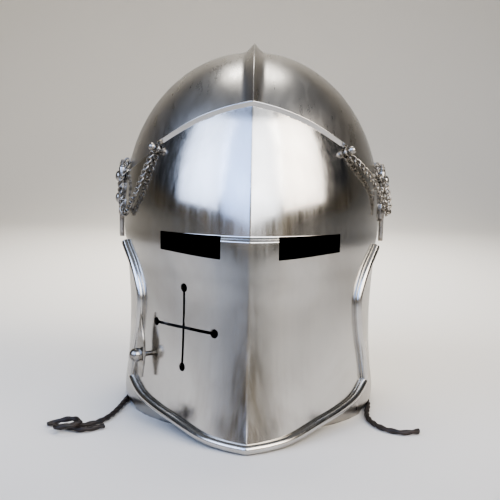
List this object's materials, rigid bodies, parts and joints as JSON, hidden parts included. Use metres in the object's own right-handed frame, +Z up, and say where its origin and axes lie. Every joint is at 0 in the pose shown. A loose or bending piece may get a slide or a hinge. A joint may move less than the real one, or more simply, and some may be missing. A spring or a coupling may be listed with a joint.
{
  "type": "visored barbute helmet",
  "caption": "Polished steel open-bowl helmet with a medial comb and a keeled, side-pivoted visor with eye slits, a pierced cross, keeper chains, a turning latch and leather chin ties.",
  "frame": {"origin": "centre of the bounding box at the rim's plane, chin ties left out", "axes": "+Z up through the comb, -Y out of the face, +X towards the viewer's right (the wearer's left)"},
  "size_m": [0.3018, 0.3054, 0.32],
  "materials": {
    "polished_steel": "polished, near mirror",
    "dark_steel": "dulled, unpolished",
    "leather": "oiled thong"
  },
  "bodies": {
    "skull": {"skull": "polished_steel", "pivot_rivet_left": "polished_steel", "pivot_rivet_right": "polished_steel", "tie_stud_left": "dark_steel", "tie_stud_right": "dark_steel", "chin_tie_left": "leather", "chin_tie_right": "leather", "tie_knot": "leather"},
    "visor": {"visor": "polished_steel", "hinge_arm_left": "polished_steel", "hinge_arm_right": "polished_steel", "hinge_leaf_left": "dark_steel", "hinge_leaf_right": "dark_steel", "arm_rivet_left": "polished_steel", "arm_rivet_right": "polished_steel", "hinge_pin_left": "dark_steel", "hinge_pin_right": "dark_steel", "chain_stud_left": "polished_steel", "chain_stud_right": "polished_steel", "keeper_chain_left": "dark_steel", "keeper_chain_right": "dark_steel", "latch_post": "dark_steel"},
    "latch": {"latch_lever": "polished_steel"}
  },
  "joints": [
    {"name": "visor_lift", "type": "hinge", "parent": "skull", "child": "visor", "pos_m": [0, 0.02578, 0.18], "axis": [-1, 0, 0], "range_deg": [0, 75]},
    {"name": "latch_turn", "type": "hinge", "parent": "visor", "child": "latch", "pos_m": [-0.08197, -0.06685, 0.057], "axis": [-0.8164, -0.5775, 0], "range_deg": [0, 90]}
  ]
}
